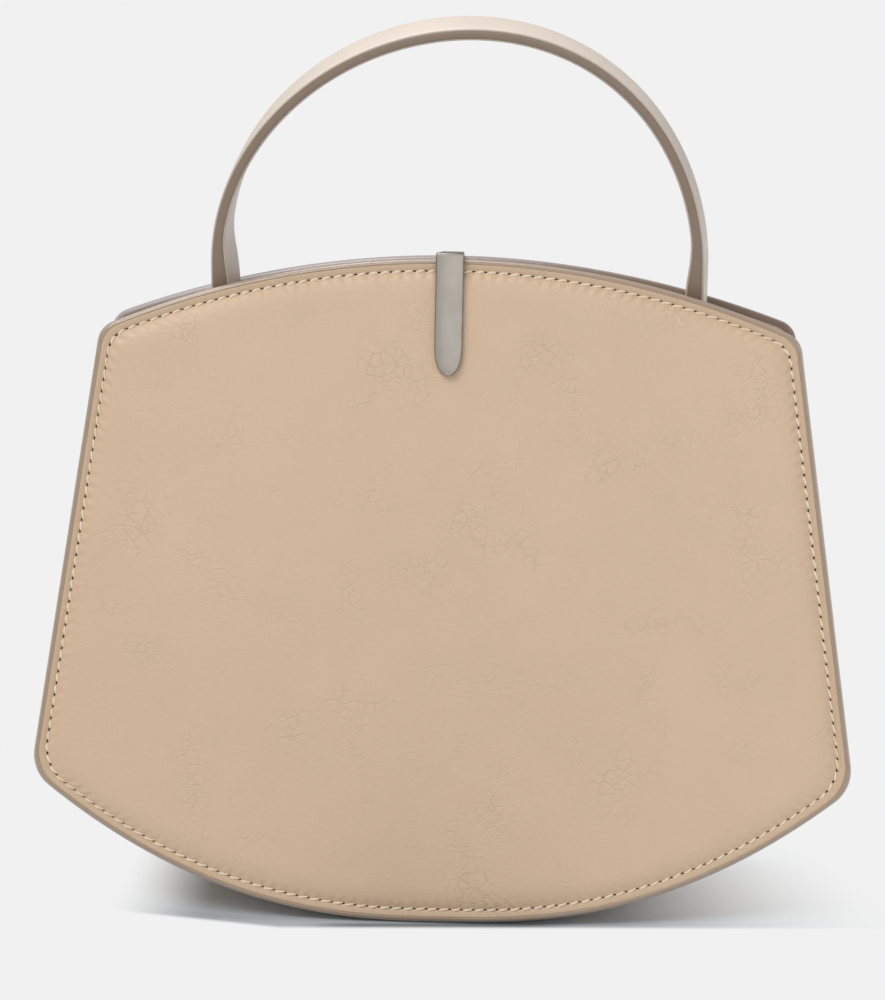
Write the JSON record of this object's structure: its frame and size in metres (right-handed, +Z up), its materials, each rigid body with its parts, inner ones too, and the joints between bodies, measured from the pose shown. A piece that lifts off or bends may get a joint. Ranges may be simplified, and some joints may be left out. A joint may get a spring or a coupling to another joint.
{
  "type": "leather tote bag",
  "caption": "Small structured leather bag with padded panels, a curved base, folded side gussets, an arched strap handle and a metal closing tab.",
  "frame": {"origin": "middle of the flat of the base, on the surface that the bag stands on", "axes": "+Z up, +X to the right seen from the front, the front panel with the closing tab faces -Y"},
  "size_m": [0.2362, 0.0892, 0.2591],
  "materials": {
    "panel_leather": "smooth satin leather, taupe beige",
    "strap_leather": "smooth satin leather, pale beige",
    "edge_paint": "painted, domed leather edge, grey brown",
    "lining": "matt suede-like lining",
    "board": "plain fibre board, hidden",
    "foam": "soft foam padding, hidden",
    "satin_metal": "satin metal, warm grey",
    "magnet": "plated magnet"
  },
  "bodies": {
    "bag": {"back_leather": "panel_leather", "back_edge": "edge_paint", "back_padding": "foam", "back_board": "board", "back_lining": "lining", "base_leather": "panel_leather", "base_board": "board", "base_lining": "lining", "side_gusset_left": "panel_leather", "side_gusset_right": "panel_leather", "side_lining_left": "lining", "side_lining_right": "lining", "strap_outer": "strap_leather", "strap_core": "board", "strap_inner": "strap_leather", "strap_edge_front": "edge_paint", "strap_edge_back": "edge_paint", "bracket_left": "satin_metal", "bracket_right": "satin_metal", "strap_rivet_left_lower": "satin_metal", "strap_rivet_left_upper": "satin_metal", "strap_rivet_right_lower": "satin_metal", "strap_rivet_right_upper": "satin_metal", "wall_rivet_left_lower": "satin_metal", "wall_rivet_left_upper": "satin_metal", "wall_rivet_right_lower": "satin_metal", "wall_rivet_right_upper": "satin_metal", "hinge_plate": "satin_metal", "hinge_pin": "satin_metal", "hinge_rivet_left": "satin_metal", "hinge_rivet_right": "satin_metal"},
    "front_panel": {"front_leather": "panel_leather", "front_edge": "edge_paint", "front_padding": "foam", "front_board": "board", "front_lining": "lining", "catch_magnet": "magnet"},
    "clasp": {"clasp_tab": "satin_metal", "clasp_keeper": "magnet"}
  },
  "joints": [
    {"name": "mouth_opening", "type": "hinge", "parent": "bag", "child": "front_panel", "pos_m": [0, -0.046, 0], "axis": [1, 0, 0], "range_deg": [0, 7.2], "deforming": ["side_gusset_left", "side_gusset_right", "side_lining_left", "side_lining_right"]},
    {"name": "clasp_turn", "type": "hinge", "parent": "bag", "child": "clasp", "pos_m": [0, 0.01417, 0.1853], "axis": [-1, 0, 0], "range_deg": [0, 180]}
  ],
  "couplings": [
    {"joint": "clasp_turn", "follows": "mouth_opening", "ratio": 25}
  ]
}
